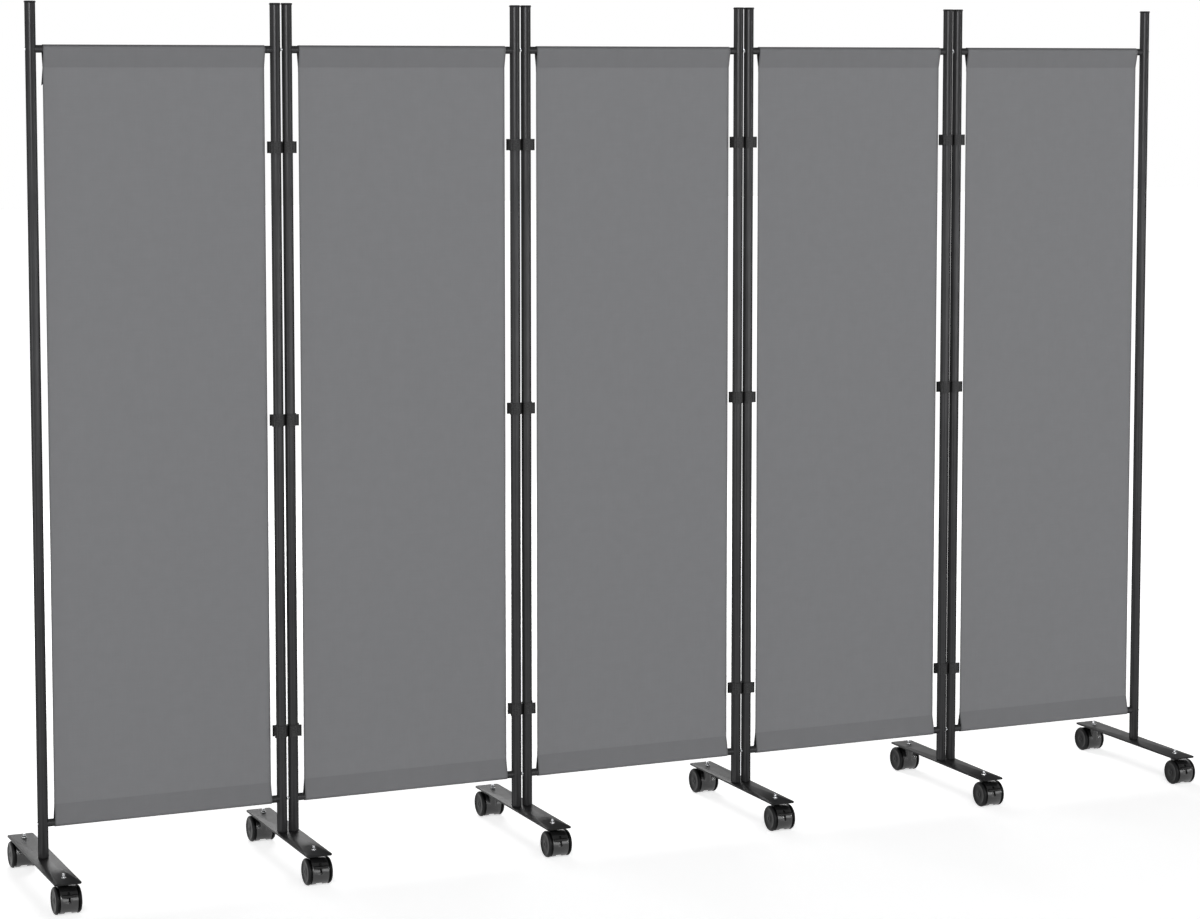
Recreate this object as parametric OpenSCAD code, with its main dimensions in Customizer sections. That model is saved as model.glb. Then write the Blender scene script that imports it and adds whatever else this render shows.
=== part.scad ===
// Outdoor privacy screen: fabric panels in a folding frame of round posts,
// each pair of posts clipped together on a base plate that rolls on two casters.
// Millimetres. X runs along the open screen, Y from front to back, Z up from the floor.

/* [Overall] */
// Number of fabric panels
panel_count = 5; // [2:1:5]
// Height from the floor to the top of the post caps
overall_h = 1850; // [1500:1:2200]
// Distance between the two post axes of one panel
panel_pitch = 522; // [400:1:900]
// Distance between the two post axes that share a base plate
pair_pitch = 26; // [25:0.5:30]

/* [Posts] */
// Outside diameter of the post tube
post_d = 22; // [18:0.5:22.5]
// Wall thickness of the post tube
post_wall = 1.2; // [1:0.1:2]
// Thickness of the cap disc on top of a post
cap_t = 4; // [2:0.5:6]
// How far the cap disc stands out past the tube all round
cap_lip = 1; // [0.1:0.1:1.3]
// Length of the plug that holds the cap in the tube
cap_plug_l = 12; // [6:1:30]
// Length of the foot plug inside the tube
foot_plug_l = 26; // [20:1:40]
// Thickness of the foot plug's flange under the tube
foot_flange_t = 2; // [1:0.5:4]

/* [Cross rods] */
// Outside diameter of the cross rods that carry the fabric
rod_d = 16; // [12:0.5:17]
// Wall thickness of the rod tube
rod_wall = 1.2; // [1:0.1:2]
// Height of the lower rod's axis above the base plate
rod_low = 73.5; // [50:0.5:150]
// Distance from the upper rod's axis up to the top of the caps
rod_drop = 98; // [60:1:300]
// Length of the threaded insert in each rod end
insert_l = 20; // [15:1:40]

/* [Fabric] */
// Thickness of the woven fabric
fabric_t = 0.8; // [0.5:0.1:1.5]
// Gap between a post and the fabric's side edge
fabric_gap = 13.5; // [12:0.5:40]
// Height of the sewn pocket round each rod, from its outer fold to the seam
pocket_h = 47; // [30:1:90]
// Free space between a rod and the fabric round it
pocket_slack = 0.4; // [0.3:0.1:1.5]

/* [Clips] */
// Height of the lower clips' centres above the base plate
clip_low = 221.5; // [150:0.5:500]
// Height of the middle clips' centres above the base plate
clip_mid = 896; // [600:0.5:1100]
// Distance from the upper clips' centres up to the top of the caps
clip_drop = 304.5; // [200:0.5:500]
// Height of one clip
clip_h = 25; // [12:1:40]
// Wall thickness of a clip ring
clip_wall = 1.8; // [1.5:0.1:2.3]
// Angle between the outward direction and each end of a clip ring
clip_open = 42; // [38:1:60]
// Reach of the flared lips from the post axis
lip_reach = 16; // [14:0.5:20]
// Outward flare of the lips in degrees
lip_flare = 8; // [0:1:16]
// Width of the web that joins the two rings of a clip
bridge_w = 14; // [8:1:18]

/* [Base plates] */
// Length of a base plate from front to back
plate_l = 430; // [360:1:600]
// Width of a base plate
plate_w = 56; // [52:1:90]
// Thickness of a base plate
plate_t = 3; // [2:0.5:6]
// Corner radius of a base plate
plate_r = 5; // [2:0.5:15]
// Distance from the centre of a plate to each caster stem
stem_y = 174; // [120:1:174]

/* [Casters] */
// Diameter of the caster wheels
wheel_d = 57.5; // [48:0.5:70]
// Width over both wheels of a caster
caster_w = 54.5; // [53:0.5:64]
// Height of the base plate's underside above the top of a caster's hood
hood_clear = 7; // [4:0.5:16]
// Distance from the stem's axis out to the wheel axle
trail = 21; // [16:0.5:23]
// Width of the hood between the two wheel rims
hood_w = 36; // [33.2:0.2:37]
// Width of the groove between the hood and each wheel's rim
groove_w = 2.4; // [0.7:0.1:3]
// How far the hood stays inside the wheel's tread radius
hood_inset = 0.5; // [0.2:0.1:1.5]
// Wall thickness of the hood
hood_wall = 2; // [1.5:0.1:3]
// Width of the solid web between the two wheels
web_w = 14.6; // [13:0.2:20]
// Height of the hood's lower edge above the floor
hood_z = 3; // [2:0.5:6]
// Height of the notch's top edge, between the wheels, above the floor
notch_z = 7; // [6:0.5:12]
// Diameter of the socket that turns on the stem
socket_d = 20; // [14:0.5:24]
// Height of the stem's lower end above the wheel axle
stem_rise = 16; // [10:1:24]
// Diameter of the wheel axle
axle_d = 6; // [5:0.5:8]
// Depth of wheel between the axle's end and the wheel's outer face
axle_cover = 6; // [3:0.5:8]
// Radius of the rounded rim of a wheel
rim_r = 5.5; // [2:0.5:6]
// Chamfer of a wheel's inner edge
rim_chamfer = 1; // [0.5:0.1:1.5]
// Depth of the dish in a wheel's outer face
dish = 1.4; // [0.5:0.1:3]
// Width of the slope between a wheel's rim and its dish
dish_slope = 3; // [1:0.5:6]

/* [Brake levers] */
// Angle of the lever above the level of the axle when released
lever_angle = 36; // [30:1:38]
// Travel of the lever in degrees
lever_travel = 28; // [10:1:30]
// Wall of the lever's hub round the axle
hub_wall = 4.5; // [3:0.5:5]
// Thickness of the lever's arm
arm_w = 3.2; // [2:0.2:3.6]
// Depth of the lever's arm along its travel
arm_h = 5; // [3:0.5:6]
// Width of the tread fin
fin_w = 33; // [24:1:36]
// How far the fin stands out from the hood
fin_out = 9; // [6:0.5:12]
// How much further the middle of the fin's edge stands out than its ends
fin_bow = 3.5; // [2:0.5:5]
// Thickness of the fin
fin_t = 4; // [1.5:0.1:5]
// Diameter of the round hole at each end of the lever's slot
slot_eye_d = 6; // [4.5:0.5:8]
// Depth of those holes below the inside of the hood's wall
slot_eye_depth = 2; // [1:0.5:3]

/* [Fasteners] */
// Thread diameter of the screws that hold the rods
screw_d = 5; // [4:0.5:6]
// Diameter of the screw heads
screw_head_d = 8; // [7:0.5:8]
// Height of the screw heads
screw_head_h = 1.3; // [1:0.1:1.3]
// Length of a screw that is held in the rod's insert
screw_grip = 15; // [8:1:18]
// Diameter of the bolts that the posts turn on
pivot_d = 8; // [6:0.5:10]
// Length of a pivot bolt above the base plate
pivot_l = 20; // [12:1:24]
// Diameter of the caster stems
stem_d = 6; // [5:0.5:8]
// Width across the flats of the nuts on the caster stems
nut_af = 9.5; // [9:0.5:12]
// Height of the nuts on the caster stems
nut_h = 5; // [3:0.5:8]
// Width across the flats of the pivot bolts' heads
bolt_af = 13; // [11:0.5:15]
// Height of the heads of the pivot bolts
bolt_head_h = 4; // [2:0.5:6]
// Length of a stem that stands out above its nut
stem_tip = 5.5; // [2:0.5:10]
// Thickness of the stem's collar under the plate
collar_t = 1.6; // [1:0.1:3]

/* [Clearances] */
// Radial clearance of a part that turns on a pin
run_fit = 0.05; // [0.02:0.01:0.1]
// Radial clearance of a bolt or screw in its hole
hole_fit = 0.15; // [0.1:0.05:0.5]
// Radial clearance of a plug in its tube
plug_fit = 0.05; // [0.02:0.01:0.2]
// Gap between fixed pieces that are screwed or pressed together
seat_gap = 0.05; // [0.02:0.01:0.1]
// Gap between moving parts that don't bear on each other
gap = 0.3; // [0.2:0.05:0.5]
// Gap between the wheels and the inside of the hood
wheel_gap = 0.7; // [0.4:0.1:1.2]

/* [Hidden] */
$fn = 64;
base_count = panel_count + 1;
wheel_r = wheel_d / 2;
hood_r = wheel_r - hood_inset;
cavity_r = hood_r - hood_wall;
tread_r = cavity_r - wheel_gap;
// Height of the underside of the base plates, and of their top
caster_h = wheel_r + hood_r + hood_clear;
plate_top = caster_h + plate_t;
post_r = post_d / 2;
post_bore_r = post_r - post_wall;
post_foot = plate_top + gap;
post_top = overall_h - cap_t;
rod_r = rod_d / 2;
rod_zs = [plate_top + rod_low, overall_h - rod_drop];
clip_zs = [plate_top + clip_low, plate_top + clip_mid, overall_h - clip_drop];
axle_r = axle_d / 2;
wheel_x = web_w / 2 + wheel_gap / 2;
rim_x = hood_w / 2 + groove_w;
axle_end = caster_w / 2 - axle_cover;
hub_r = axle_r + hub_wall;
stem_foot = wheel_r + stem_rise;
// Half of the angle that the lever's arm fills at the hood
arm_half = asin(arm_h / 2 / hood_r);
// Steps in each rounded outline
arc_steps = 20;
// Overlap of shapes that are joined into one piece or cut past a face
lap = 1;

PANELS = [for (i = [1:panel_count]) str("panel_", i)];
BASES = [for (i = [1:base_count]) str("base_", i)];
ENDS = ["front", "rear"];

// Place of the left post of each panel, and of the centre of each base plate
step = panel_pitch + pair_pitch;
open_w = panel_count * panel_pitch + (panel_count - 1) * pair_pitch;
function left_post(i) = -open_w / 2 + i * step;
function base_x(i) =
    i == 0 ? -open_w / 2 :
    i == base_count - 1 ? open_w / 2 :
    left_post(i) - pair_pitch / 2;
// Places of the posts on a base plate, measured from its centre
function posts_on(i) = i == 0 || i == base_count - 1 ? [0] : [-pair_pitch / 2, pair_pitch / 2];
function arc(r, from, to) =
    [for (k = [0:arc_steps]) let (a = from + (to - from) * k / arc_steps) [r * cos(a), r * sin(a)]];

// A cylinder along X, from x0 to x1
module rod_x(r, x0, x1) {
    translate([x0, 0, 0]) rotate([0, 90, 0]) cylinder(r = r, h = x1 - x0);
}

// A flat plate with round corners, centred in X and Y
module rounded_rect(w, l, r) {
    square([w - 2 * r, l], center = true);
    square([w, l - 2 * r], center = true);
    for (x = [-1, 1], y = [-1, 1]) translate([x * (w / 2 - r), y * (l / 2 - r)]) circle(r);
}

module hex_prism(af, h) {
    cylinder(r = af / 2 / cos(30), h = h, $fn = 6);
}

// The parts of one panel's frame. side is -1 for the left post and 1 for the right.
module post_tube() {
    foot = post_foot + foot_flange_t + seat_gap;
    difference() {
        translate([0, 0, foot]) cylinder(r = post_r, h = post_top - seat_gap - foot);
        cylinder(r = post_bore_r, h = overall_h);
        for (z = rod_zs) translate([0, 0, z])
            rod_x(screw_d / 2 + hole_fit, -post_d, post_d);
    }
}

module post_cap() {
    translate([0, 0, post_top]) cylinder(r = post_r + cap_lip, h = cap_t);
    translate([0, 0, post_top - cap_plug_l])
        cylinder(r = post_bore_r - plug_fit, h = cap_plug_l + cap_t / 2);
}

module foot_plug() {
    difference() {
        union() {
            translate([0, 0, post_foot]) cylinder(r = post_r, h = foot_flange_t);
            translate([0, 0, post_foot])
                cylinder(r = post_bore_r - plug_fit, h = foot_plug_l);
        }
        translate([0, 0, plate_top])
            cylinder(r = pivot_d / 2 + run_fit, h = pivot_l + 2 * gap);
    }
}

// The screw lies along X and is driven in from the side away from the rod
module rod_screw(side) {
    rotate([0, 0, side < 0 ? 0 : 180]) {
        rod_x(screw_head_d / 2, -post_r - seat_gap - screw_head_h, -post_r - seat_gap);
        rod_x(screw_d / 2, -post_r - screw_head_h / 2, post_r + screw_grip);
    }
}

module rod_insert(side) {
    rotate([0, 0, side < 0 ? 0 : 180]) difference() {
        rod_x(rod_r - rod_wall - plug_fit, post_r + seat_gap, post_r + insert_l);
        rod_x(screw_d / 2 + plug_fit, 0, post_d + insert_l);
    }
}

module cross_rod() {
    difference() {
        rod_x(rod_r, 0, panel_pitch);
        rod_x(rod_r - rod_wall, -lap, panel_pitch + lap);
        for (x = [0, panel_pitch]) translate([x, 0, -rod_d])
            cylinder(r = post_r + seat_gap, h = 2 * rod_d);
    }
}

module panel_frame(i) {
    translate([left_post(i), 0, 0]) {
        for (side = [-1, 1]) translate([side < 0 ? 0 : panel_pitch, 0, 0]) {
            color("#2b2c2e") post_tube();
            color("#1d1d1e") post_cap();
            color("#1d1d1e") foot_plug();
            for (z = rod_zs) translate([0, 0, z]) {
                color("silver") rod_screw(side);
                color("#6d6d6d") rod_insert(side);
            }
        }
        for (z = rod_zs) translate([0, 0, z]) color("#2b2c2e") cross_rod();
    }
}

// Outline of the pocket round a rod: an arc over the rod and two straight sides that
// run down to the seam, which is 2 * seam_y wide. The rod's axis is at the origin.
function pocket(r, seam_y, seam_z) =
    let (d = norm([seam_y, seam_z]),
         lean = atan2(seam_y, -seam_z),
         tangent = acos(r / d))
    concat([[seam_y, seam_z]],
        arc(r, -90 + lean + tangent, 270 - lean - tangent),
        seam_y > 0 ? [[-seam_y, seam_z]] : []);

module fabric_pocket() {
    inner_r = rod_r + pocket_slack;
    outer_r = inner_r + fabric_t;
    seam_z = outer_r - pocket_h;
    difference() {
        polygon(pocket(outer_r, fabric_t / 2, seam_z));
        polygon(pocket(inner_r, 0, seam_z + 2 * fabric_t));
    }
}

// Section of the fabric in Y and Z, drawn out along X between the posts
module panel_fabric(i) {
    pocket_end = pocket_h - rod_r - pocket_slack - fabric_t;
    color("#7a7b7d")
        translate([left_post(i) + post_r + fabric_gap, 0, 0])
        rotate([90, 0, 90]) linear_extrude(panel_pitch - post_d - 2 * fabric_gap) {
            translate([-fabric_t / 2, rod_zs[0] + pocket_end - lap])
                square([fabric_t, rod_zs[1] - rod_zs[0] - 2 * (pocket_end - lap)]);
            translate([0, rod_zs[1]]) fabric_pocket();
            translate([0, rod_zs[0]]) mirror([0, 1]) fabric_pocket();
        }
}

// The bolt that a post turns on, with its head under the plate
module pivot_bolt() {
    translate([0, 0, caster_h - seat_gap - bolt_head_h]) hex_prism(bolt_af, bolt_head_h);
    translate([0, 0, caster_h - bolt_head_h])
        cylinder(r = pivot_d / 2, h = bolt_head_h + plate_t + pivot_l);
}

module caster_stem() {
    translate([0, 0, caster_h - seat_gap - collar_t]) cylinder(r = stem_d, h = collar_t);
    translate([0, 0, stem_foot]) cylinder(r = stem_d / 2, h = plate_top + nut_h + stem_tip - stem_foot);
}

module stem_nut() {
    difference() {
        translate([0, 0, plate_top + seat_gap]) hex_prism(nut_af, nut_h);
        cylinder(r = stem_d / 2 + plug_fit, h = overall_h);
    }
}

// A base plate with the bolts that its posts turn on and the stems of its casters
module base_plate(i) {
    translate([base_x(i), 0, 0]) {
        color("#3a3b3d") difference() {
            translate([0, 0, caster_h]) linear_extrude(plate_t)
                rounded_rect(plate_w, plate_l, plate_r);
            for (x = posts_on(i)) translate([x, 0, 0])
                cylinder(r = pivot_d / 2 + plug_fit, h = overall_h);
            for (y = [-stem_y, stem_y]) translate([0, y, 0])
                cylinder(r = stem_d / 2 + hole_fit, h = overall_h);
        }
        for (x = posts_on(i)) translate([x, 0, 0]) color("#77787a") pivot_bolt();
        for (y = [-stem_y, stem_y]) translate([0, y, 0]) color("silver") {
            caster_stem();
            stem_nut();
        }
    }
}

// One lip of a clip, from inside the end of its ring out to a round edge
module clip_lip(ring_mid) {
    lip_x = ring_mid * cos(clip_open);
    lip_l = (lip_reach - lip_x) / cos(lip_flare);
    translate([lip_x, ring_mid * sin(clip_open)]) rotate(lip_flare) {
        translate([-clip_wall, -clip_wall / 2]) square([lip_l + clip_wall, clip_wall]);
        translate([lip_l, 0]) circle(clip_wall / 2);
    }
}

// Plan of a clip: two open rings back to back on a web, with flared lips
module clip_plan() {
    ring_in = post_r + gap;
    mouth = 2 * post_d;
    difference() {
        union() {
            square([pair_pitch - 2 * post_r, bridge_w], center = true);
            for (s = [0, 1]) mirror([s, 0]) translate([pair_pitch / 2, 0]) {
                difference() {
                    circle(ring_in + clip_wall);
                    polygon([[0, 0], mouth * [cos(clip_open), sin(clip_open)],
                        mouth * [cos(clip_open), -sin(clip_open)]]);
                }
                for (t = [0, 1]) mirror([0, t]) clip_lip(ring_in + clip_wall / 2);
            }
        }
        for (s = [-1, 1]) translate([s * pair_pitch / 2, 0]) circle(ring_in);
    }
}

module clips(i) {
    color("#262627") for (z = clip_zs)
        translate([base_x(i), 0, z - clip_h / 2]) linear_extrude(clip_h) clip_plan();
}

// Casters are drawn round the stem's axis, with the wheels towards +Y
module place_caster(i, e) {
    translate([base_x(i), e == 0 ? -stem_y : stem_y, 0]) rotate([0, 0, e == 0 ? 180 : 0]) children();
}

module at_axle() {
    translate([0, trail, wheel_r]) children();
}

// The room that the lever needs in the hood's web: a round pocket for its hub, a
// straight channel at each end of its travel, the wedge between, and two round eyes
module lever_slot() {
    w = arm_w + 2 * gap;
    ends = [lever_angle - lever_travel, lever_angle];
    at_axle() {
        rod_x(hub_r + gap, -w / 2, w / 2);
        translate([w / 2, 0, 0]) rotate([90, 0, -90]) mirror([1, 0, 0])
            linear_extrude(w) polygon(concat([[0, 0]], arc(wheel_d, ends[0], ends[1])));
        for (a = ends) rotate([a, 0, 0]) {
            translate([-w / 2, 0, -arm_h / 2 - gap]) cube([w, wheel_d, arm_h + 2 * gap]);
            rotate([a == lever_angle ? arm_half : -arm_half, 0, 0])
                translate([0, cavity_r - slot_eye_depth, 0])
                rotate([-90, 0, 0]) cylinder(d = slot_eye_d, h = wheel_r);
        }
    }
}

module caster_housing() {
    socket_top = caster_h - seat_gap - collar_t - gap;
    difference() {
        union() {
            at_axle() rod_x(hood_r, -hood_w / 2, hood_w / 2);
            translate([0, 0, wheel_r]) cylinder(d = socket_d, h = socket_top - wheel_r);
        }
        for (s = [0, 1]) mirror([s, 0, 0]) at_axle() rod_x(cavity_r, web_w / 2, hood_w);
        translate([-caster_w, -caster_w, -lap]) cube([2 * caster_w, 3 * caster_w, hood_z + lap]);
        translate([-wheel_x, -caster_w, 0]) cube([2 * wheel_x, 3 * caster_w, notch_z]);
        translate([0, 0, stem_foot - gap]) cylinder(r = stem_d / 2 + run_fit, h = caster_h);
        at_axle() rod_x(axle_r + run_fit, -caster_w, caster_w);
        lever_slot();
    }
}

// Half section of a wheel: X is along the axle and Y is the radius. The axle's hole is blind.
function wheel_section() =
    let (face = caster_w / 2, rim = face - rim_r, bore = axle_r + plug_fit)
    concat(
        [[wheel_x, bore], [wheel_x, tread_r], [rim_x, tread_r], [rim_x, wheel_r - rim_chamfer],
         [rim_x + rim_chamfer, wheel_r]],
        [for (a = [90:-15:0]) [rim + rim_r * cos(a), wheel_r - rim_r + rim_r * sin(a)]],
        [[face - dish, wheel_r - rim_r - dish_slope], [face - dish, 0], [axle_end, 0],
         [axle_end, bore]]);

module caster_wheels() {
    at_axle() {
        for (s = [0, 1]) mirror([s, 0, 0]) rotate([0, 90, 0]) rotate_extrude()
            polygon([for (p = wheel_section()) [p[1], p[0]]]);
        rod_x(axle_r, -axle_end + gap, axle_end - gap);
    }
}

// The lever is drawn released: its arm leans up and its fin lies level
module brake_lever() {
    fin_z = hood_r * sin(lever_angle) - fin_t / 2;
    inner_r = hood_r + gap;
    fin_y = sqrt(inner_r * inner_r - pow(fin_z - fin_t / 2, 2));
    fin_r = (fin_w * fin_w / 4 + fin_bow * fin_bow) / 2 / fin_bow;
    at_axle() {
        difference() {
            union() {
                rod_x(hub_r, -arm_w / 2, arm_w / 2);
                intersection() {
                    rotate([lever_angle, 0, 0]) translate([-arm_w / 2, 0, -arm_h / 2])
                        cube([arm_w, hood_r + fin_out / 2, arm_h]);
                    translate([-arm_w, 0, -wheel_r])
                        cube([2 * arm_w, wheel_d, wheel_r + fin_z + fin_t / 2]);
                }
            }
            rod_x(axle_r + run_fit, -arm_w, arm_w);
        }
        translate([0, 0, fin_z - fin_t / 2]) linear_extrude(fin_t) intersection() {
            translate([0, fin_y + fin_out - fin_r]) circle(fin_r);
            translate([-fin_w / 2, fin_y]) square([fin_w, fin_out]);
        }
    }
}

for (i = [0:panel_count - 1]) {
    panel_frame(i);
    panel_fabric(i);
}
for (i = [0:base_count - 1]) {
    base_plate(i);
    if (i > 0 && i < base_count - 1)
        clips(i);
    for (e = [0, 1]) {
        color("#303133") place_caster(i, e) caster_housing();
        color("#252527") place_caster(i, e) caster_wheels();
        color("#1b1b1c") place_caster(i, e) brake_lever();
    }
}
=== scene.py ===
import math
import random

import bmesh
import bpy
from mathutils import Matrix, Vector


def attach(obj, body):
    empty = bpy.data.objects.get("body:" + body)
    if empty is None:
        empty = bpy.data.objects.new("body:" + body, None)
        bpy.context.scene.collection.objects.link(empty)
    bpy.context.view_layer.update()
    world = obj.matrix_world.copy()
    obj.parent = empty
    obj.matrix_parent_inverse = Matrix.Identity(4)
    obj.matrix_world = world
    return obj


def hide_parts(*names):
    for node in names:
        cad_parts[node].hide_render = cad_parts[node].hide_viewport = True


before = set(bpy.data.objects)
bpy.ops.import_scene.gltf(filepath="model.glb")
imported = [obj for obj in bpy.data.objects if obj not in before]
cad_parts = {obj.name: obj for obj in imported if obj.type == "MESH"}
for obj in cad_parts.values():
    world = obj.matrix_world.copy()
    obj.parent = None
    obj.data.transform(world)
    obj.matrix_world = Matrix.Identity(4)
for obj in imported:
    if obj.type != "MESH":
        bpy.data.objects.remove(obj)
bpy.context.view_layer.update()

# Sizes in metres, in the construction's frame: the open screen stands along X and faces -Y
PANELS = 5
PITCH = 0.522            # between the two posts of a panel
PAIR = 0.026             # between the two posts of a pair
STEP = PITCH + PAIR
LEFT_END = -(PANELS * PITCH + (PANELS - 1) * PAIR) / 2
TOP = 1.85
SEAT = 0.00005           # left open between two faces that rest on each other
GAP = 0.0003             # left open between two faces that move past each other

POST_R = 0.011
CAP_T = 0.004
CAP_LIP = 0.001
FLANGE_T = 0.002         # of the foot plug, under the post
ROD_R = 0.008
ROD_Z = (0.1405, 1.752)

CLOTH_W = 0.473
LAYER = 0.0007           # thickness of the cloth
POCKET_R = 0.0088        # of the cloth's middle layer round a rod
SEAM_DROP = 0.0378       # from a rod's axis to its pocket's seam
FLAP = 0.009             # seam allowance past the seam
FLAP_Y = LAYER * 1.1     # the flap lies behind the face

PLATE_LOW = 0.064
PLATE_TOP = 0.067
PLATE_W = 0.056
PLATE_L = 0.430
STEM_Y = 0.174
STEM_R = 0.003
BOLT_R = 0.004

CLIP_Z = (0.2885, 0.963, 1.5455)
CLIP_H = 0.025
CLIP_WALL = 0.0018

TRAIL = 0.021            # from a caster's stem to its axle
WHEEL_R = 0.02875
HOOD_R = 0.02825
CASTER_W = 0.0545        # over the two wheels' faces
AXLE_R = 0.003
RIB = 0.0022             # pitch of the ribs round a hood


def left_post(i):
    """X of the left post of panel i, from 0."""
    return LEFT_END + i * STEP


def base_x(b):
    """X of base b, from 0: under an end post, or midway under a pair of posts."""
    return LEFT_END if b == 0 else -LEFT_END if b == PANELS else left_post(b) - PAIR / 2


# ---------------------------------------------------------------- materials


class Nodes:
    """A small builder for node materials."""

    def __init__(self, name):
        self.mat = bpy.data.materials.new(name)
        self.mat.use_nodes = True
        self.tree = self.mat.node_tree
        self.tree.nodes.clear()
        self.out = self.tree.nodes.new("ShaderNodeOutputMaterial")
        self.bsdf = self.tree.nodes.new("ShaderNodeBsdfPrincipled")
        self.tree.links.new(self.bsdf.outputs[0], self.out.inputs[0])
        self.where = None

    def link(self, a, b):
        self.tree.links.new(a, b)

    def set(self, **values):
        for key, value in values.items():
            self.bsdf.inputs[key.replace("_", " ")].default_value = value

    def coords(self):
        if self.where is None:
            self.where = self.tree.nodes.new("ShaderNodeTexCoord").outputs["Object"]
        return self.where

    def axes(self):
        node = self.tree.nodes.new("ShaderNodeSeparateXYZ")
        self.link(self.coords(), node.inputs[0])
        return node.outputs

    def math(self, kind, *values):
        node = self.tree.nodes.new("ShaderNodeMath")
        node.operation = kind
        for socket, value in zip(node.inputs, values):
            if isinstance(value, (int, float)):
                socket.default_value = value
            else:
                self.link(value, socket)
        return node.outputs[0]

    def noise(self, scale, detail=2.0, stretch=(1, 1, 1)):
        mapping = self.tree.nodes.new("ShaderNodeMapping")
        mapping.inputs["Scale"].default_value = tuple(scale * s for s in stretch)
        self.link(self.coords(), mapping.inputs["Vector"])
        node = self.tree.nodes.new("ShaderNodeTexNoise")
        node.inputs["Scale"].default_value = 1.0
        node.inputs["Detail"].default_value = detail
        self.link(mapping.outputs[0], node.inputs["Vector"])
        return node.outputs["Fac"]

    def ramp(self, value, low, high, start=0.0, end=1.0):
        """value, from start to end, mapped to a number from low to high."""
        node = self.tree.nodes.new("ShaderNodeMapRange")
        self.link(value, node.inputs["Value"])
        for key, v in (("From Min", start), ("From Max", end), ("To Min", low), ("To Max", high)):
            node.inputs[key].default_value = v
        return node.outputs["Result"]

    def mix(self, factor, a, b, blend="MIX"):
        node = self.tree.nodes.new("ShaderNodeMix")
        node.data_type = "RGBA"
        node.blend_type = blend
        for socket, value in ((node.inputs[0], factor), (node.inputs[6], a), (node.inputs[7], b)):
            if isinstance(value, (int, float)):
                socket.default_value = value
            elif isinstance(value, tuple):
                socket.default_value = (*value, 1)
            else:
                self.link(value, socket)
        return node.outputs[2]

    def bump(self, height, strength, distance):
        node = self.tree.nodes.new("ShaderNodeBump")
        node.inputs["Strength"].default_value = strength
        node.inputs["Distance"].default_value = distance
        self.link(height, node.inputs["Height"])
        self.link(node.outputs[0], self.bsdf.inputs["Normal"])

    def colour(self, value):
        self.link(value, self.bsdf.inputs["Base Color"])

    def roughness(self, value):
        self.link(value, self.bsdf.inputs["Roughness"])


def grey(v):
    """A dark grey with a trace of blue."""
    return (v, v, v * 1.03)


def tube_material():
    """Powder coat over drawn tube: faint lines run along the tube under a fine orange peel."""
    n = Nodes("black_powder_coat")
    lines = n.noise(420, 2, (1, 1, 0.004))
    tone = n.math("ADD", n.math("MULTIPLY", lines, 0.75), n.math("MULTIPLY", n.noise(12, 3), 0.25))
    n.colour(n.mix(n.ramp(tone, 0, 1, 0.32, 0.68), grey(0.026), grey(0.060)))
    n.roughness(n.ramp(n.noise(70, 2), 0.18, 0.26))
    n.set(Metallic=0.35, Specular_IOR_Level=0.0, Specular_Tint=(0.05, 0.05, 0.05, 1))
    height = n.math("ADD", n.math("MULTIPLY", lines, 1.0), n.math("MULTIPLY", n.noise(1500, 2), 0.12))
    n.bump(height, 0.4, 0.00025)
    return n.mat


def plate_material():
    """Powder coat on flat steel, duller than on the tubes."""
    n = Nodes("plate_powder_coat")
    n.colour(n.mix(n.noise(9, 4), grey(0.011), grey(0.019)))
    n.roughness(n.ramp(n.noise(40, 3), 0.34, 0.46))
    n.set(Specular_IOR_Level=0.08)
    n.bump(n.noise(1400, 2), 0.25, 0.00012)
    return n.mat


def moulded(name, low, high, rough, shine):
    """Moulded plastic with a fine spark-eroded grain and handling marks."""
    n = Nodes(name)
    n.colour(n.mix(n.noise(40, 4), grey(low), grey(high)))
    n.roughness(n.ramp(n.noise(180, 3), rough - 0.07, rough + 0.08))
    n.set(Specular_IOR_Level=shine)
    n.bump(n.noise(2600, 2), 0.3, 0.0001)
    return n.mat


def hood_material():
    """As moulded plastic, with fine ribs round the hood, and painted shade: near black in the hollows
    inside its skin.
    """
    n = Nodes("hood_plastic_look")
    axes = n.axes()
    ribs = n.math("SINE", n.math("MULTIPLY", axes["X"], 2 * math.pi / RIB))
    y, z = n.math("SUBTRACT", axes["Y"], TRAIL), n.math("SUBTRACT", axes["Z"], WHEEL_R)
    reach = n.math("SQRT", n.math("ADD", n.math("MULTIPLY", y, y), n.math("MULTIPLY", z, z)))
    # Painted shade: inside the hood's outer skin, in its hollows, the colour turns near black.
    hood_clear_of_painted_shade = n.ramp(reach, 0, 1, HOOD_R - 0.0010, HOOD_R - 0.0003)
    tone = n.math("ADD", n.math("MULTIPLY", n.noise(40, 4), 0.6), n.math("MULTIPLY", ribs, 0.2))
    n.colour(n.mix(hood_clear_of_painted_shade, grey(0.001), n.mix(tone, grey(0.006), grey(0.017))))
    n.roughness(n.ramp(n.noise(180, 3), 0.18, 0.28))
    n.set(Specular_IOR_Level=0.70)
    n.bump(n.math("ADD", n.math("MULTIPLY", ribs, 0.8), n.noise(2600, 2)), 0.3, 0.0001)
    return n.mat


def wheel_material():
    """Moulded plastic, with painted shade: near black round the inner edge of the rim, beside the hood."""
    n = Nodes("wheel_plastic_look")
    far = n.math("ABSOLUTE", n.axes()["X"])
    # Painted shade: near black inward of the rim, where the groove beside the hood lies.
    rim = n.ramp(far, 0.0, 1.0, 0.0230, 0.0240)
    n.colour(n.mix(rim, grey(0.002), n.mix(n.noise(40, 4), grey(0.012), grey(0.019))))
    n.roughness(n.ramp(n.noise(180, 3), 0.28, 0.42))
    n.set(Specular_IOR_Level=0.09)
    n.bump(n.noise(2600, 2), 0.3, 0.0001)
    return n.mat


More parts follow.
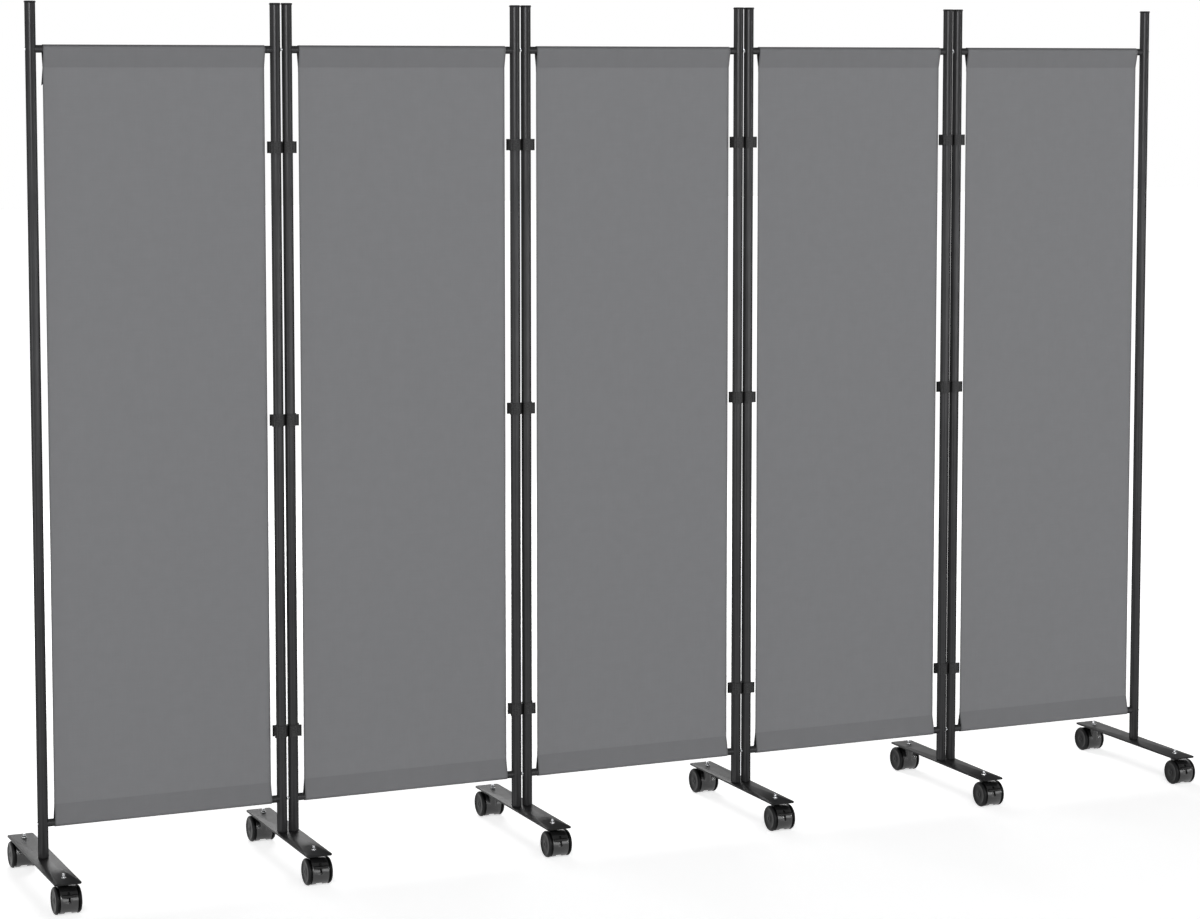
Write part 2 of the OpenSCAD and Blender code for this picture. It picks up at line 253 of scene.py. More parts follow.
def clip_material():
    """Mottled plastic, with painted shade: near black in the groove between the two rings and at the tips
    of the lips.
    """
    n = Nodes("clip_plastic_look")
    far = n.math("ABSOLUTE", n.axes()["X"])
    # Painted shade: near black in the groove between the rings and at the tips of the lips; elsewhere the
    # mottled body colour.
    lit = n.math("MULTIPLY", n.ramp(far, 0.0, 1.0, 0.0020, 0.0045), n.ramp(far, 1.0, 0.05, 0.0260, 0.0274))
    body = n.mix(n.ramp(n.noise(420, 4), 0, 1, 0.35, 0.65), grey(0.012), grey(0.042))
    n.colour(n.mix(lit, grey(0.001), body))
    n.roughness(n.ramp(n.noise(180, 3), 0.38, 0.52))
    n.set(Specular_IOR_Level=0.16)
    n.bump(n.noise(2600, 2), 0.3, 0.0001)
    return n.mat


def zinc_material():
    """Bright zinc plating, slightly uneven."""
    n = Nodes("bright_zinc")
    n.colour(n.mix(n.noise(300, 3), (0.60, 0.61, 0.63), (0.82, 0.83, 0.84)))
    n.roughness(n.ramp(n.noise(500, 2), 0.16, 0.30))
    n.set(Metallic=1.0)
    n.bump(n.noise(1500, 2), 0.15, 0.00005)
    return n.mat


def weave(n, thread):
    """Height of a plain weave with its warp along Z and its weft along X."""
    axes = n.axes()
    x = n.math("MULTIPLY", axes["X"], math.pi / thread)
    z = n.math("MULTIPLY", axes["Z"], math.pi / thread)
    over = n.math("MULTIPLY", n.math("SINE", x), n.math("SINE", z))
    round_x, round_z = (n.math("ABSOLUTE", n.math("COSINE", turn)) for turn in (x, z))
    crown = n.math("MULTIPLY", round_x, round_z)
    return n.math("SUBTRACT", n.math("MULTIPLY", over, 0.4), n.math("MULTIPLY", crown, 0.6))


def cloth_material(name, low, high):
    """Plain-woven polyester, with painted shade: the doubled hems, the folds and the side edges are a
    little darker.
    """
    n = Nodes(name)
    height = weave(n, 0.0010)
    weft, warp = n.noise(1, 3, (14, 1, 900)), n.noise(1, 3, (900, 1, 14))
    slubs = n.math("MULTIPLY", n.math("ADD", weft, warp), 0.32)
    tone = n.math("ADD", slubs, n.math("MULTIPLY", n.noise(38, 4), 0.36))
    tone = n.math("ADD", tone, n.math("MULTIPLY", height, 0.1))
    base = n.mix(tone, low, high)
    axes = n.axes()
    middle = (ROD_Z[0] + ROD_Z[1]) / 2
    far_z = n.math("ABSOLUTE", n.math("SUBTRACT", axes["Z"], middle))
    far_x = n.math("ABSOLUTE", axes["X"])
    seam, fold, side = ROD_Z[1] - SEAM_DROP - middle, ROD_Z[1] + POCKET_R - middle, CLOTH_W / 2
    # Painted shade, darkening the doubled hems, the folds and the side edges.
    shade = n.ramp(far_z, 1.0, 0.88, seam - 0.0005, seam + 0.0005)
    shade = n.math("MULTIPLY", shade, n.ramp(far_z, 1.0, 0.62, fold - 0.005, fold - 0.0005))
    shade = n.math("MULTIPLY", shade, n.ramp(far_x, 1.0, 0.80, side - 0.003, side - 0.001))
    dark = n.tree.nodes.new("ShaderNodeCombineColor")
    for socket in dark.inputs:
        n.link(shade, socket)
    n.colour(n.mix(1.0, base, dark.outputs[0], "MULTIPLY"))
    n.set(Roughness=0.88, Specular_IOR_Level=0.15, Sheen_Weight=0.06, Sheen_Roughness=0.5)
    n.bump(n.math("ADD", height, n.math("MULTIPLY", warp, 0.5)), 0.35, 0.00012)
    return n.mat


def thread_material():
    """Sewing thread, a little darker than the cloth."""
    n = Nodes("grey_thread")
    n.colour(n.mix(n.noise(900, 2), (0.145, 0.148, 0.152), (0.19, 0.194, 0.199)))
    n.set(Roughness=0.7, Specular_IOR_Level=0.3)
    n.bump(n.noise(1, 2, (2500, 4000, 4000)), 0.4, 0.00008)
    return n.mat


TUBE = tube_material()
PLATE = plate_material()
CAP = moulded("cap_plastic_look", 0.006, 0.010, 0.45, 0.15)
CLIP = clip_material()
HOOD = hood_material()
WHEEL = wheel_material()
LEVER = moulded("lever_plastic_look", 0.005, 0.009, 0.42, 0.20)
ZINC = zinc_material()
NYLON = moulded("thread_lock_nylon", 0.008, 0.012, 0.6, 0.2)
CLOTH = cloth_material("grey_woven_cloth", (0.166, 0.1675, 0.1735), (0.217, 0.219, 0.227))
# The same cloth in painted shade, for the inner faces of the pockets and flaps.
POCKET_SHADE_CLOTH = cloth_material("cloth_in_painted_pocket_shade", (0.014, 0.014, 0.015), (0.022, 0.022, 0.023))
THREAD = thread_material()


# ------------------------------------------------------------------ shapes


def arc(r, a, b, steps, x=0.0, y=0.0):
    """Points on an arc round (x, y), from angle a to angle b in degrees."""
    return [(x + r * math.cos(math.radians(a + (b - a) * k / steps)),
             y + r * math.sin(math.radians(a + (b - a) * k / steps))) for k in range(steps + 1)]


def eased(points, radius, steps=3):
    """An open outline with its inner corners rounded."""
    out = [points[0]]
    for p, q, r in zip(points, points[1:], points[2:]):
        p, q, r = Vector(p), Vector(q), Vector(r)
        cut = min(radius, (p - q).length * 0.45, (r - q).length * 0.45)
        a, b = q + (p - q).normalized() * cut, q + (r - q).normalized() * cut
        for k in range(steps + 1):
            t = k / steps
            out.append(tuple(a * (1 - t) ** 2 + q * 2 * t * (1 - t) + b * t * t))
    return out + [points[-1]]


def circle(r, z, steps):
    """A ring of points round Z at height z. r is a number, or a function of the angle."""
    out = []
    for k in range(steps):
        a = 2 * math.pi * k / steps
        reach = r(a) if callable(r) else r
        out.append((reach * math.cos(a), reach * math.sin(a), z))
    return out


def lathe(profile, steps=48):
    """Turns a list of (radius, height) round Z."""
    verts, faces, rings = [], [], []
    for r, h in profile:
        start = len(verts)
        if r < 1e-7:
            verts.append((0, 0, h))
            rings.append([start] * steps)
        else:
            verts += circle(r, h, steps)
            rings.append(list(range(start, start + steps)))
    for a, b in zip(rings, rings[1:]):
        for k in range(steps):
            loop = [a[k], a[(k + 1) % steps], b[(k + 1) % steps], b[k]]
            loop = [v for j, v in enumerate(loop) if v not in loop[:j]]
            if len(loop) > 2:
                faces.append(tuple(loop))
    return verts, faces


def skin(rings):
    """Joins closed rings of equal counts, and closes both ends with a fan."""
    n = len(rings[0])
    verts = [tuple(v) for ring in rings for v in ring]
    faces = []
    for s in range(len(rings) - 1):
        for k in range(n):
            a, b = s * n + k, s * n + (k + 1) % n
            faces.append((a, b, b + n, a + n))
    for s in (0, len(rings) - 1):
        centre = len(verts)
        verts.append(tuple(sum((Vector(v) for v in rings[s]), Vector()) / n))
        faces += [(s * n + k, s * n + (k + 1) % n, centre) for k in range(n)]
    return verts, faces


def disc(r, low, high, ease, steps=56):
    """A round bar or disc along Z, its edges rounded by ease."""
    return lathe(eased([(0, low), (r, low), (r, high), (0, high)], ease, 3), steps)


def turned(part, matrix):
    return [tuple(matrix @ Vector(v)) for v in part[0]], part[1]


def moved(part, x=0.0, y=0.0, z=0.0):
    return [(v[0] + x, v[1] + y, v[2] + z) for v in part[0]], part[1]


def mirrored(part):
    """The part on the other side of X = 0."""
    return [(-v[0], v[1], v[2]) for v in part[0]], part[1]


def joined(*parts):
    """One part of several, each a list of points and a list of faces."""
    verts, faces = [], []
    for v, f in parts:
        base = len(verts)
        verts += v
        faces += [tuple(i + base for i in face) for face in f]
    return verts, faces


def mesh_of(name, part, material, sharp=38):
    """A smooth mesh of a part, with hard edges where its faces turn by more than sharp degrees."""
    mesh = bpy.data.meshes.new(name)
    mesh.from_pydata([tuple(v) for v in part[0]], [], part[1])
    bm = bmesh.new()
    bm.from_mesh(mesh)
    bmesh.ops.remove_doubles(bm, verts=bm.verts, dist=1e-7)
    bmesh.ops.recalc_face_normals(bm, faces=bm.faces)
    bm.to_mesh(mesh)
    bm.free()
    mesh.materials.append(material)
    mesh.polygons.foreach_set("use_smooth", [True] * len(mesh.polygons))
    mesh.set_sharp_from_angle(angle=math.radians(sharp))
    return mesh


def put(name, mesh, body, node, matrix):
    """Places a piece, on its body and in the stead of its construction node."""
    ob = bpy.data.objects.new(name, mesh)
    bpy.context.scene.collection.objects.link(ob)
    ob.matrix_world = matrix
    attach(ob, body)
    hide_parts(node)
    return ob


def along_x(side):
    """Turns a part that is built along Z to point along X, to the right for 1."""
    return Matrix.Rotation(math.radians(90 * side), 4, "Y")


# ------------------------------------------------------------- panel frames


def rod_part():
    """A rod from post to post along X from 0, with both ends coped to fit the round posts."""
    steps, reach = 48, POST_R + SEAT
    rings = []
    for end in (0, 1):
        ring = []
        for k in range(steps):
            a = 2 * math.pi * k / steps
            y, z = ROD_R * math.cos(a), ROD_R * math.sin(a)
            cope = math.sqrt(reach * reach - y * y)
            ring.append((cope if end == 0 else PITCH - cope, y, z))
        rings.append(ring)
    return skin(rings)


def screw_part():
    """A low screw head along Z from its seat at 0, with a cross recess."""
    r, h = 0.004, 0.0013
    steps = 48
    outline = eased([(0, 0), (r, 0), (r, h * 0.6), (r * 0.7, h), (r * 0.6, h)], 0.0005, 3)

    def recess(deep):
        """Reach of the cross, as a function of the angle, at a depth in the head."""
        arm, half = 0.0019 - deep * 0.3, 0.0005 - deep * 0.1

        def reach(a):
            a = math.radians(abs((math.degrees(a) + 45) % 90 - 45))
            return arm if a < math.atan2(half, arm) else min(arm, half / max(math.sin(a), 1e-6))

        return reach

    rings = [circle(q[0], q[1], steps) for q in outline[1:]]
    for deep, z in ((0.0, h), (0.0002, h - 0.0002), (0.0008, h - 0.0010)):
        rings.append(circle(recess(deep), z, steps))
    return skin(rings)


def panel_frames():
    """Posts with caps and foot plugs, rods and screws of each panel."""
    low = PLATE_TOP + GAP
    post = mesh_of("post_mesh", disc(POST_R, low + FLANGE_T + SEAT, TOP - CAP_T - SEAT, 0.0004), TUBE)
    cap = mesh_of("cap_mesh", disc(POST_R + CAP_LIP, TOP - CAP_T, TOP, 0.0008), CAP)
    flange = mesh_of("foot_plug_mesh", disc(POST_R, low, low + FLANGE_T, 0.0005), CAP)
    rod = mesh_of("rod_mesh", rod_part(), TUBE)
    head, shift = screw_part(), POST_R + SEAT
    heads = []
    for z in ROD_Z:
        heads.append(moved(turned(head, along_x(-1)), x=-shift, z=z))
        heads.append(moved(turned(head, along_x(1)), x=PITCH + shift, z=z))
    screws = mesh_of("screws_mesh", joined(*heads), ZINC)
    for i in range(PANELS):
        body, node = f"panel_{i + 1}", f"panel_{i + 1}_frame"
        for side, x in (("left", left_post(i)), ("right", left_post(i) + PITCH)):
            at = Matrix.Translation((x, 0, 0))
            put(f"{body}_post_{side}", post, body, node, at)
            put(f"{body}_cap_{side}", cap, body, node, at)
            put(f"{body}_foot_plug_{side}", flange, body, node, at)
        for side, z in (("lower", ROD_Z[0]), ("upper", ROD_Z[1])):
            put(f"{body}_rod_{side}", rod, body, node, Matrix.Translation((left_post(i), 0, z)))
        put(f"{body}_screws", screws, body, node, Matrix.Translation((left_post(i), 0, 0)))


# ------------------------------------------------------------------- cloth


def pocket_side(rod_z, up):
    """Points (y, z) from the seam at the front, round the rod and down to the flap's end behind."""
    lean = math.degrees(math.acos(POCKET_R / SEAM_DROP))
    first = 270 - lean
    round_rod = arc(POCKET_R, first, first - (360 - 2 * lean), 26)
    start, end = round_rod[0], round_rod[-1]
    out = [(start[0] * k / 14, -SEAM_DROP + (start[1] + SEAM_DROP) * k / 14) for k in range(14)]
    out += round_rod
    out += [(end[0] + (FLAP_Y - end[0]) * k / 14, end[1] + (-SEAM_DROP - end[1]) * k / 14)
            for k in range(1, 15)]
    out += [(FLAP_Y, -SEAM_DROP - FLAP * k / 4) for k in range(1, 5)]
    return [(y, rod_z + z * up) for y, z in out]


def cloth_path():
    """The sheet's section in (y, z), with the number of points in the lower and upper pocket."""
    top = pocket_side(ROD_Z[1], 1)
    low = pocket_side(ROD_Z[0], -1)
    z0, z1 = ROD_Z[0] + SEAM_DROP, ROD_Z[1] - SEAM_DROP
    rows = 150
    body = [(0.0, z0 + (z1 - z0) * k / rows) for k in range(1, rows)]
    return list(reversed(low)) + body + top, len(low), len(top)


def cloth_mesh(name, seed, dog_ear):
    """A taut sheet with faint tension waves, and its length laid flat.

    dog_ear, from 0 to 1, hangs one corner of the upper flap loose.
    """
    path, low_n, top_n = cloth_path()
    cols = 64
    z0, z1 = ROD_Z[0] + SEAM_DROP, ROD_Z[1] - SEAM_DROP
    rng = random.Random(seed)
    waves = [(rng.uniform(1.2, 5.0), rng.uniform(0.3, 1.6), rng.uniform(0, 6.28), rng.uniform(0, 6.28),
              rng.uniform(0.4, 1.0)) for _ in range(9)]
    verts, faces, kinds = [], [], []
    flap_from = len(path) - 4
    for row, (y, z) in enumerate(path):
        inside = low_n <= row < len(path) - top_n  # on the hanging face, between the pockets
        share = math.sin(math.pi * (z - z0) / (z1 - z0)) ** 0.5 if inside else 0.0
        reach = min(z - z0, z1 - z)
        near = math.exp(-reach / 0.05) * min(reach / 0.01, 1) if inside else 0.0
        for c in range(cols + 1):
            u = c / cols
            x = (u - 0.5) * CLOTH_W
            sag = sum(w * math.sin(math.pi * a * u + p) * math.sin(math.pi * b * (z / 1.7) * 2 + q)
                      for a, b, p, q, w in waves) / len(waves)
            pull = math.sin(2 * math.pi * u * 21 + 2.0 * math.sin(u * 11)) * 0.00022 * near
            dy, dz = 0.0, 0.0
            if row >= flap_from:
                ear = dog_ear * max(0.0, 1 - u / 0.07) * (row - flap_from + 1) / 4
                dy, dz = 0.0035 * ear, -0.028 * ear
                x -= 0.0022 * ear
            verts.append((x, y + 0.0016 * sag * share + pull + dy, z + dz))
    w = cols + 1
    for s in range(len(path) - 1):
        pocket = s < low_n - 1 or s >= len(path) - top_n
        for c in range(cols):
            a = s * w + c
            faces.append((a, a + 1, a + 1 + w, a + w))
            kinds.append(1 if pocket else 0)
    mesh = bpy.data.meshes.new(name)
    mesh.from_pydata(verts, [], faces)
    # The third slot, the cloth in painted shade, goes to the inner shell of the pocket faces.
    for material in (CLOTH, CLOTH, POCKET_SHADE_CLOTH):
        mesh.materials.append(material)
    mesh.polygons.foreach_set("material_index", kinds)
    mesh.polygons.foreach_set("use_smooth", [True] * len(mesh.polygons))
    return mesh, sum(math.dist(a, b) for a, b in zip(path, path[1:]))


def stitch_row(z, y_front, y_back):
    """A row of lockstitches through the cloth, seen from both sides."""
    parts = []
    pitch, length, r, margin = 0.0032, 0.0025, 0.00022, 0.003
    # Each section of a stitch: place along it, thickness and height over the cloth, in radii
    sections = ((0, 0.35, -0.8), (0.18, 1.0, 0.1), (0.5, 1.1, 0.35), (0.82, 1.0, 0.1), (1, 0.35, -0.8))
    count = int((CLOTH_W - 2 * margin) / pitch)
    for face_y, lift in ((y_front, -1), (y_back, 1)):
        for k in range(count):
            x = -CLOTH_W / 2 + margin + pitch * (k + 0.5)
            rings = []
            for t, scale, dip in sections:
                rings.append([(x + (t - 0.5) * length, face_y + lift * (r * dip + r * scale * math.cos(a)),
                               z + r * scale * math.sin(a)) for a in [math.pi * j / 3 for j in range(6)]])
            parts.append(skin(rings))
    return joined(*parts)


def cloths():
    """The five cloths, each a sheet that hangs between its rods, with its two seams."""
    seams = [stitch_row(z, -LAYER / 2, FLAP_Y + LAYER / 2)
             for z in (ROD_Z[0] + SEAM_DROP + 0.001, ROD_Z[1] - SEAM_DROP - 0.001)]
    thread = mesh_of("stitch_mesh", joined(*seams), THREAD)
    for i in range(PANELS):
        body, node = f"panel_{i + 1}", f"panel_{i + 1}_fabric"
        at = Matrix.Translation((left_post(i) + PITCH / 2, 0, 0))
        mesh, length = cloth_mesh(f"{body}_cloth_mesh", 7 + i, 1.0 if i == 0 else 0.0)
        cloth = put(f"{body}_cloth", mesh, body, node, at)
        thick = cloth.modifiers.new("thickness", "SOLIDIFY")
        thick.thickness = LAYER
        thick.offset = 0
        # The pocket faces' inner shell takes the cloth in painted shade.
        thick.material_offset = 1
        seam = put(f"{body}_stitching", thread, body, node, at)


# -------------------------------------------------------------- base plates


def hexagon(af, h, x=0.0, y=0.0, z=0.0):
    """A nut or bolt head, af across its flats, with its corners chamfered at both ends."""
    r, chamfer = af / 2, 0.0006
    sixth = math.pi / 3

    def flats(most):
        return lambda a: min(r / math.cos((a + sixth / 2) % sixth - sixth / 2), r * most)

    rings = [circle(flats(most), height, 48) for most, height in
             ((0.985, 0.0), (1.155, chamfer), (1.155, h - chamfer), (0.985, h))]
    return moved(skin(rings), x, y, z)


def threaded(r, z0, z1, pitch=0.001, depth=0.0005):
    """A threaded rod along Z with a domed upper end."""
    steps, rings = 32, []
    rows = max(4, int((z1 - z0) / pitch * 6))
    for s in range(rows + 1):
        z = z0 + (z1 - z0) * s / rows
        ring = []
        for k in range(steps):
            t = (z / pitch + k / steps) % 1.0
            d = r - depth * abs(2 * t - 1)
            room = max(z1 - z, 0.0)
            d = min(d, r * 0.55 + math.sqrt(room) * 0.045)
            ring.append((d * math.cos(2 * math.pi * k / steps), d * math.sin(2 * math.pi * k / steps), z))
        rings.append(ring)
    return skin(rings)


def plate_part():
    """A steel plate with round corners and broken edges, down to the collars of its stems."""
    low = PLATE_LOW - 0.0007
    r, t = 0.005, PLATE_TOP - low
    rings = []
    for inset, z in ((0.0005, 0.0), (0.00015, 0.00015), (0.0, 0.0005), (0.0, t - 0.0005),
                     (0.00015, t - 0.00015), (0.0005, t)):
        ring = []
        for sx, sy, a in ((1, 1, 0), (-1, 1, 90), (-1, -1, 180), (1, -1, 270)):
            ring += [(x, y, low + z) for x, y in
                     arc(r - inset, a, a + 90, 8, sx * (PLATE_W / 2 - r), sy * (PLATE_L / 2 - r))]
        rings.append(ring)
    return skin(rings)


def base_plates():
    """The plates with their caster stems, lock nuts and pivot bolts."""
    plate = mesh_of("plate_mesh", plate_part(), PLATE)
    nut_h, nut_af, tip = 0.005, 0.0095, 0.0055
    ring_h, ring_r = 0.0018, 0.0043  # the nylon ring in the top of a lock nut
    collar_h, collar_r = 0.0016, 0.006
    bolt_af, bolt_head = 0.013, 0.004
    nut_top, under = PLATE_TOP + nut_h, PLATE_LOW - SEAT
    stems, rings = [], []
    for y in (-STEM_Y, STEM_Y):
        stems.append(moved(threaded(STEM_R, PLATE_TOP, nut_top + tip), y=y))
        stems.append(hexagon(nut_af, nut_h - ring_h, y=y, z=PLATE_TOP + SEAT))
        stems.append(moved(disc(collar_r, under - collar_h, under, 0.0003, 40), y=y))
        stems.append(moved(disc(STEM_R, WHEEL_R + 0.016, PLATE_LOW - 0.001, 0.0003, 32), y=y))
        rings.append(moved(disc(ring_r, nut_top - ring_h - 0.0001, nut_top, 0.0005, 40), y=y))
    stem = mesh_of("stems_mesh", joined(*stems), ZINC)
    lock = mesh_of("lock_rings_mesh", joined(*rings), NYLON)
    for b in range(PANELS + 1):
        body, node = f"base_{b + 1}", f"base_{b + 1}_plate"
        at = Matrix.Translation((base_x(b), 0, 0))
        put(f"{body}_steel_plate", plate, body, node, at)
        put(f"{body}_stems_and_nuts", stem, body, node, at)
        put(f"{body}_lock_rings", lock, body, node, at)
        bolts = []
        for x in ([0.0] if b in (0, PANELS) else [-PAIR / 2, PAIR / 2]):
            bolts.append(hexagon(bolt_af, bolt_head, x=x, z=under - bolt_head))
            bolts.append(moved(disc(BOLT_R, PLATE_LOW - 0.0005, PLATE_TOP + 0.02, 0.0004, 32), x=x))
        bolts_mesh = mesh_of(f"{body}_bolts_mesh", joined(*bolts), ZINC)
        put(f"{body}_pivot_bolts", bolts_mesh, body, node, at)


# ------------------------------------------------------------------- clips


def clip_half():
    """One ring of a clip with its two lips, round the post's axis and open towards +X."""
    mid = POST_R + GAP + CLIP_WALL / 2
    open_a, flare, reach = 42.0, 8.0, 0.016
    end = Vector(arc(mid, open_a, open_a, 1)[0])
    along = Vector((math.cos(math.radians(flare)), math.sin(math.radians(flare))))
    lip_l = (reach - end.x) / along.x + CLIP_WALL / 2
    out = 90 + flare
    # Each section of the upper lip: share of its length, turn of its normal and depth of its recess
    stops = [(1.0, out, 0), (0.985, out, 0), (0.80, out, 0), (0.76, out, 1), (0.30, out, 1), (0.26, out, 0),
             (0.10, out, 0), (0.0, (out + open_a) / 2, 0)]
    upper = [(end + along * lip_l * t, a, sunk, t) for t, a, sunk in stops]
    ring = [(Vector(p), math.degrees(math.atan2(p[1], p[0])) % 360, 0, 0.5)
            for p in arc(mid, open_a + 7, 360 - open_a - 7, 44)]
    lower = [(Vector((q.x, -q.y)), -a, sunk, t) for q, a, sunk, t in reversed(upper)]
    half, rim, edge = CLIP_H / 2, 0.0026, 0.0004
    rings = []
    for q, a, sunk, t in upper + ring + lower:
        nv = Vector((math.cos(math.radians(a)), math.sin(math.radians(a))))
        w = CLIP_WALL / 2 * (0.5 if t == 1.0 else 0.9 if t == 0.985 else 1.0)
        deep = 0.0005 * sunk
        outer = [(w - edge, half), (w, half - edge), (w, half - rim), (w - deep, half - rim - 0.0003),
                 (w - deep, 0),
                 (w - deep, -half + rim + 0.0003), (w, -half + rim), (w, -half + edge), (w - edge, -half)]
        inner = [(-w + edge, -half), (-w, -half + edge), (-w, 0), (-w, half - edge), (-w + edge, half)]
        rings.append([((q + nv * o).x, (q + nv * o).y, z) for o, z in outer + inner])
    return skin(rings)


def clips():
    """Three double clips on each pair of posts."""
    half = clip_half()
    web_w, web_t = 0.008, PAIR - 2 * POST_R - 2 * GAP + 0.0003
    top = CLIP_H / 2 - 0.0004
    rings = [[(x * s * web_t / 2, y * s * web_w / 2, z) for x, y in ((1, 1), (-1, 1), (-1, -1), (1, -1))]
             for z, s in ((-top, 0.96), (-top + 0.0004, 1), (top - 0.0004, 1), (top, 0.96))]
    one = joined(moved(half, x=PAIR / 2), moved(mirrored(half), x=-PAIR / 2), skin(rings))
    mesh = mesh_of("clip_mesh", one, CLIP, sharp=30)
    for b in range(1, PANELS):
        body, node = f"base_{b + 1}", f"base_{b + 1}_clips"
        for place, z in zip(("lower", "middle", "upper"), CLIP_Z):
            at = Matrix.Translation((base_x(b), 0, z))
            put(f"{body}_clip_{place}", mesh, body, node, at)


# ----------------------------------------------------------------- casters


def wheel_part():
    """One wheel of a caster: X is its axle, with the domed outer face towards +X."""
    face, r, rim = CASTER_W / 2, WHEEL_R, 0.0055
    # X of the inner face, x where the rim begins, and the radius of the part between, inside the hood
    inner, rim_x, tread = 0.00765, 0.0204, 0.02555
    # Points (radius, x): the boss, the shallow dish and its lip, the rounded rim, the inner part
    outline = [(0, face - 0.0013), (0.0045, face - 0.0013), (0.0052, face - 0.0010),
               (0.0060, face - 0.0014), (0.0130, face - 0.0015), (0.0190, face - 0.0013),
               (0.0203, face - 0.0008), (0.0217, face - 0.0002)]
    outline += arc(rim, 90, 0, 12, r - rim, face - rim)
    outline += [(r, rim_x + 0.0010), (r - 0.0003, rim_x + 0.0003), (r - 0.0010, rim_x), (tread, rim_x),
                (tread, inner), (0, inner)]
    return turned(lathe(outline, 72), along_x(1))


def local_copy(node, x, y, bevel, material, name):
    """A construction solid's mesh, moved to the origin of its caster, with its edges broken."""
    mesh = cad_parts[node].data.copy()
    bm = bmesh.new()
    bm.from_mesh(mesh)
    bmesh.ops.translate(bm, verts=bm.verts, vec=(-x, -y, 0))
    bmesh.ops.remove_doubles(bm, verts=bm.verts, dist=2e-6)
    bmesh.ops.dissolve_limit(bm, angle_limit=math.radians(0.6), verts=bm.verts, edges=bm.edges)
    bmesh.ops.recalc_face_normals(bm, faces=bm.faces)
    bm.to_mesh(mesh)
    bm.free()
    mesh.materials.clear()
    mesh.materials.append(material)
    mesh.polygons.foreach_set("use_smooth", [True] * len(mesh.polygons))
    temp = bpy.data.objects.new(name + "_temp", mesh)
    bpy.context.scene.collection.objects.link(temp)
    mod = temp.modifiers.new("edges", "BEVEL")
    mod.width, mod.segments, mod.limit_method = bevel, 2, "ANGLE"
    mod.angle_limit = math.radians(32)
    mod.harden_normals = True
    ready = temp.evaluated_get(bpy.context.evaluated_depsgraph_get())
    out = bpy.data.meshes.new_from_object(ready)
    out.name = name
    bpy.data.objects.remove(temp)
    bpy.data.meshes.remove(mesh)
    return out


def casters():
    """Wheels, axles, hoods and brake levers of the twelve casters."""
    wheel = wheel_part()
    mesh = mesh_of("wheels_mesh", joined(wheel, mirrored(wheel)), WHEEL, sharp=35)
    half = 0.0209  # of the axle's length
    axle = mesh_of("axle_mesh", turned(disc(AXLE_R, -half, half, 0.0003, 32), along_x(1)), ZINC)
    x0, y0 = base_x(0), STEM_Y
    hood = local_copy("base_1_rear_housing", x0, y0, 0.0005, HOOD, "hood_mesh")
    lever = local_copy("base_1_rear_brake", x0, y0, 0.0004, LEVER, "lever_mesh")
    for b in range(PANELS + 1):
        for e, s in (("front", -1), ("rear", 1)):
            base = f"base_{b + 1}_{e}"
            at = Matrix.Translation((base_x(b), s * (STEM_Y + TRAIL), WHEEL_R))
            put(f"{base}_twin_wheels", mesh, f"{base}_wheelset", f"{base}_wheels", at)
            put(f"{base}_axle", axle, f"{base}_wheelset", f"{base}_wheels", at)
            stem = Matrix.Translation((base_x(b), s * STEM_Y, 0))
            if e == "front":
                stem = stem @ Matrix.Rotation(math.pi, 4, "Z")
            put(f"{base}_hood", hood, f"{base}_caster", f"{base}_housing", stem)
            put(f"{base}_brake_lever", lever, f"{base}_lever", f"{base}_brake", stem)


panel_frames()
cloths()
base_plates()
clips()
casters()


# ---------------------------------------------------- floor, light and view


def pale_floor():
    """A white floor that keeps the shadow near the object and fades to pure white away from it."""
    n = Nodes("pale_floor")
    path = n.tree.nodes.new("ShaderNodeLightPath").outputs
    seen = n.math("MAXIMUM", path["Is Camera Ray"], path["Is Glossy Ray"])
    seen = n.math("MAXIMUM", seen, path["Is Transmission Ray"])
    axes = n.axes()
    away = n.math("SQRT", n.math("ADD", n.math("POWER", axes["X"], 2), n.math("POWER", axes["Y"], 2)))
    glow = n.ramp(away, 0.60, 1.0, 1.8, 5.0)
    n.colour(n.mix(n.noise(3, 2), (0.86, 0.86, 0.86), (0.88, 0.88, 0.88)))
    n.set(Roughness=0.9, Specular_IOR_Level=0.1, Emission_Color=(1, 1, 1, 1))
    n.link(n.math("MULTIPLY", seen, glow), n.bsdf.inputs["Emission Strength"])
    mesh = bpy.data.meshes.new("floor_mesh")
    size = 30
    corners = [(-size, -size, 0), (size, -size, 0), (size, size, 0), (-size, size, 0)]
    mesh.from_pydata(corners, [], [(0, 1, 2, 3)])
    mesh.materials.append(n.mat)
    floor = bpy.data.objects.new("floor", mesh)
    bpy.context.scene.collection.objects.link(floor)


